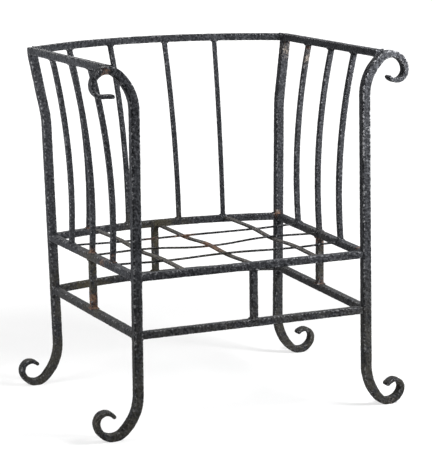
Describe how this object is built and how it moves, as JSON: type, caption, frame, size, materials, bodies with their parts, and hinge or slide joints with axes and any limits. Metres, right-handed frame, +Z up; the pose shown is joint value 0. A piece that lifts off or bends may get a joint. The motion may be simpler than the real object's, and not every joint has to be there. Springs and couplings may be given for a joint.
{
  "type": "garden armchair",
  "caption": "Garden armchair of dark hammered iron bar with scrolled feet and arms, a bowed back rail and a woven seat grid",
  "frame": {"origin": "centre of the bounding box in plan, on the floor", "axes": "+Z up, the sitter faces -Y, +X is to the right of a viewer who faces the chair"},
  "size_m": [0.796, 0.6908, 0.834],
  "materials": {
    "iron": "dark charcoal, hammered, lightly rusted at the joints",
    "weld": "weld bead under the same dark finish"
  },
  "bodies": {
    "root": {"front_left_post": "iron", "front_right_post": "iron", "rear_left_post": "iron", "rear_right_post": "iron", "left_arm_rail": "iron", "right_arm_rail": "iron", "top_back_rail": "iron", "seat_front_rail": "iron", "seat_left_rail": "iron", "seat_right_rail": "iron", "seat_back_rail": "iron", "front_stretcher": "iron", "left_stretcher": "iron", "right_stretcher": "iron", "back_stretcher": "iron", "front_strut": "iron", "left_strut": "iron", "right_strut": "iron", "back_strut": "iron", "left_side_bar_rear": "iron", "left_side_bar_middle": "iron", "left_side_bar_front": "iron", "right_side_bar_rear": "iron", "right_side_bar_middle": "iron", "right_side_bar_front": "iron", "back_bar_1": "iron", "back_bar_2": "iron", "back_bar_3": "iron", "back_bar_4": "iron", "seat_slat_left": "iron", "seat_slat_middle": "iron", "seat_slat_right": "iron", "seat_rod_rear": "iron", "seat_rod_middle": "iron", "seat_rod_front": "iron", "seat_frame_welds": "weld", "stretcher_welds": "weld", "top_rail_welds": "weld", "strut_welds": "weld", "side_bar_welds": "weld", "back_bar_welds": "weld", "seat_grid_welds": "weld"}
  },
  "joints": []
}
